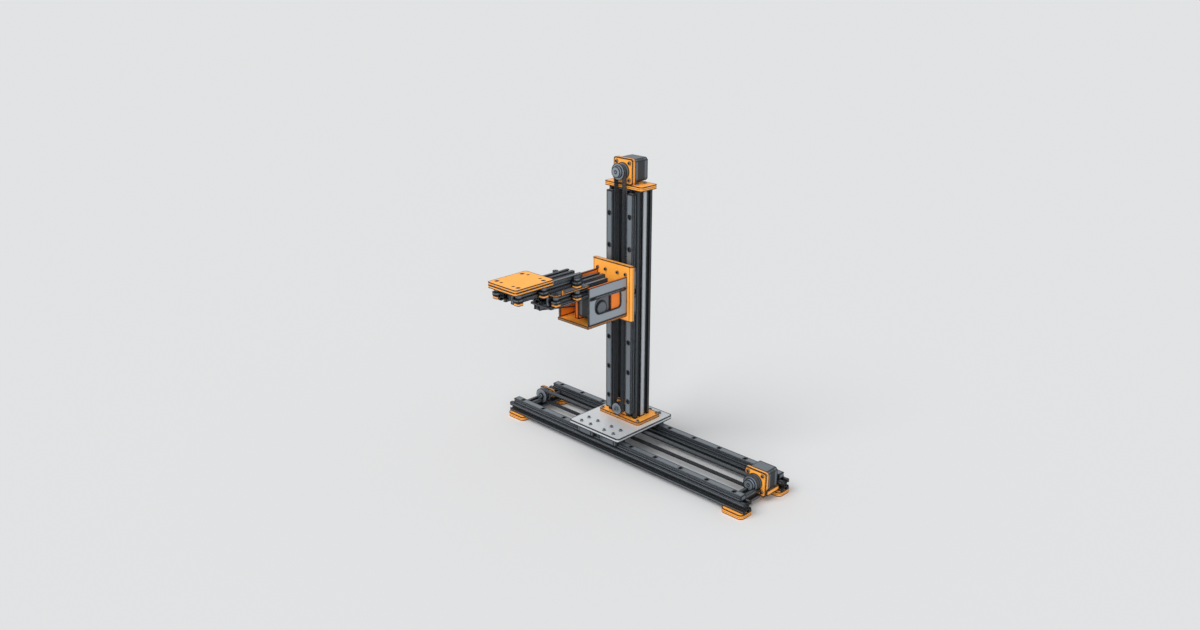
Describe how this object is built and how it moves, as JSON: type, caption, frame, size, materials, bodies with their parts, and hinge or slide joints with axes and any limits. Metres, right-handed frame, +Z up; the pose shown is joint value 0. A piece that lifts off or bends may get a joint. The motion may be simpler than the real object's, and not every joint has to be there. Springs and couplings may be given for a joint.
{
  "type": "three-axis retrieval mechanism",
  "caption": "Belt-driven three-axis retrieval mechanism: a floor frame with rails, a travelling mast, a lift box and a telescopic arm with a tray.",
  "frame": {"origin": "on the floor, in the middle of the four feet", "axes": "+Z up, +X along the floor frame, the arm reaches out towards -Y"},
  "size_m": [0.6, 0.367, 0.5596],
  "materials": {
    "orange_print": "layered print, satin",
    "silver_plate": "brushed",
    "grey_plate": "bead-blasted grey",
    "dark_extrusion": "dark anodised",
    "rail_steel": "ground",
    "block_steel": "dark satin",
    "screw_steel": "black oxide",
    "pulley_metal": "turned",
    "belt_rubber": "moulded teeth",
    "motor_black": "black with grey end caps"
  },
  "bodies": {
    "base": {"long_extrusions": "dark_extrusion", "left_cross_extrusion": "dark_extrusion", "right_cross_extrusion": "dark_extrusion", "feet": "orange_print", "base_rails": "rail_steel", "base_screws": "screw_steel", "x_motor_bracket": "orange_print", "x_motor": "motor_black", "x_idler_bracket": "orange_print", "x_belt": "belt_rubber"},
    "x_drive": {"x_drive_pulley": "pulley_metal", "x_motor_shaft": "screw_steel"},
    "x_idler": {"x_idler_pulley": "pulley_metal"},
    "x_carriage": {"carriage_plate": "silver_plate", "x_blocks": "block_steel", "carriage_screws": "screw_steel", "x_belt_clamp": "orange_print", "mast_base_plate": "orange_print", "mast_columns": "dark_extrusion", "mast_rails": "rail_steel", "mast_top_plate": "orange_print", "z_motor_bracket": "orange_print", "z_motor": "motor_black", "z_idler_bracket": "orange_print", "z_belt": "belt_rubber"},
    "z_drive": {"z_drive_pulley": "pulley_metal", "z_motor_shaft": "screw_steel"},
    "z_idler": {"z_idler_pulley": "pulley_metal"},
    "z_carriage": {"lift_plate": "orange_print", "lift_blocks": "block_steel", "lift_screws": "screw_steel", "z_belt_clamp": "orange_print", "box_floor": "orange_print", "box_left_wall": "orange_print", "box_right_wall": "grey_plate", "stage_plate": "grey_plate", "fixed_beam": "dark_extrusion", "fixed_guide": "rail_steel", "cascade_anchor": "orange_print", "arm_motor_bracket": "orange_print", "arm_motor": "motor_black", "arm_idler_holders": "block_steel", "arm_belt": "belt_rubber"},
    "arm_drive": {"arm_drive_pulley": "pulley_metal"},
    "arm_idler_front": {"arm_idler_front": "pulley_metal"},
    "arm_idler_rear": {"arm_idler_rear": "pulley_metal"},
    "arm_mid": {"mid_plate": "orange_print", "mid_shoes": "block_steel", "mid_beam": "dark_extrusion", "mid_guide": "rail_steel", "mid_pins_and_screws": "screw_steel", "mid_beam_holders": "block_steel", "cascade_belt": "belt_rubber", "arm_belt_clamp": "orange_print"},
    "mid_idler_front": {"mid_idler_front": "pulley_metal"},
    "mid_idler_rear": {"mid_idler_rear": "pulley_metal"},
    "arm_tray": {"tray_layers": "orange_print", "tray_shoes": "block_steel", "tray_screws": "screw_steel", "tray_belt_clamp": "orange_print"}
  },
  "joints": [
    {"name": "x_slide", "type": "slide", "parent": "base", "child": "x_carriage", "axis": [1, 0, 0], "range_m": [-0.13, 0.22]},
    {"name": "x_drive_turn", "type": "hinge", "parent": "base", "child": "x_drive", "pos_m": [0.268, 0, 0.0325], "axis": [0, 1, 0], "continuous": true},
    {"name": "x_idler_turn", "type": "hinge", "parent": "base", "child": "x_idler", "pos_m": [-0.268, 0, 0.0325], "axis": [0, 1, 0], "continuous": true},
    {"name": "z_slide", "type": "slide", "parent": "x_carriage", "child": "z_carriage", "axis": [0, 0, 1], "range_m": [-0.185, 0.12]},
    {"name": "z_drive_turn", "type": "hinge", "parent": "x_carriage", "child": "z_drive", "pos_m": [-0.048, -0.006, 0.5366], "axis": [0, 1, 0], "continuous": true},
    {"name": "z_idler_turn", "type": "hinge", "parent": "x_carriage", "child": "z_idler", "pos_m": [-0.048, -0.006, 0.0761], "axis": [0, 1, 0], "continuous": true},
    {"name": "arm_slide", "type": "slide", "parent": "z_carriage", "child": "arm_mid", "axis": [0, 1, 0], "range_m": [0, 0.06]},
    {"name": "tray_slide", "type": "slide", "parent": "arm_mid", "child": "arm_tray", "axis": [0, 1, 0], "range_m": [0, 0.06]},
    {"name": "arm_drive_turn", "type": "hinge", "parent": "z_carriage", "child": "arm_drive", "pos_m": [-0.067, -0.088, 0.3085], "axis": [1, 0, 0], "continuous": true},
    {"name": "arm_idler_front_turn", "type": "hinge", "parent": "z_carriage", "child": "arm_idler_front", "pos_m": [-0.067, -0.189, 0.3225], "axis": [1, 0, 0], "continuous": true},
    {"name": "arm_idler_rear_turn", "type": "hinge", "parent": "z_carriage", "child": "arm_idler_rear", "pos_m": [-0.067, -0.05, 0.3225], "axis": [1, 0, 0], "continuous": true},
    {"name": "mid_idler_front_turn", "type": "hinge", "parent": "arm_mid", "child": "mid_idler_front", "pos_m": [-0.042, -0.27, 0.3676], "axis": [1, 0, 0], "continuous": true},
    {"name": "mid_idler_rear_turn", "type": "hinge", "parent": "arm_mid", "child": "mid_idler_rear", "pos_m": [-0.042, -0.1285, 0.3676], "axis": [1, 0, 0], "continuous": true}
  ],
  "couplings": [
    {"joint": "x_drive_turn", "follows": "x_slide", "rad_per_m": 97.087},
    {"joint": "x_idler_turn", "follows": "x_slide", "rad_per_m": 97.087},
    {"joint": "z_drive_turn", "follows": "z_slide", "rad_per_m": -114.94},
    {"joint": "z_idler_turn", "follows": "z_slide", "rad_per_m": -114.94},
    {"joint": "tray_slide", "follows": "arm_slide", "ratio": 1},
    {"joint": "arm_drive_turn", "follows": "arm_slide", "rad_per_m": -120.48},
    {"joint": "arm_idler_front_turn", "follows": "arm_slide", "rad_per_m": -208.33},
    {"joint": "arm_idler_rear_turn", "follows": "arm_slide", "rad_per_m": -208.33},
    {"joint": "mid_idler_front_turn", "follows": "arm_slide", "rad_per_m": -158.73},
    {"joint": "mid_idler_rear_turn", "follows": "arm_slide", "rad_per_m": -158.73}
  ]
}
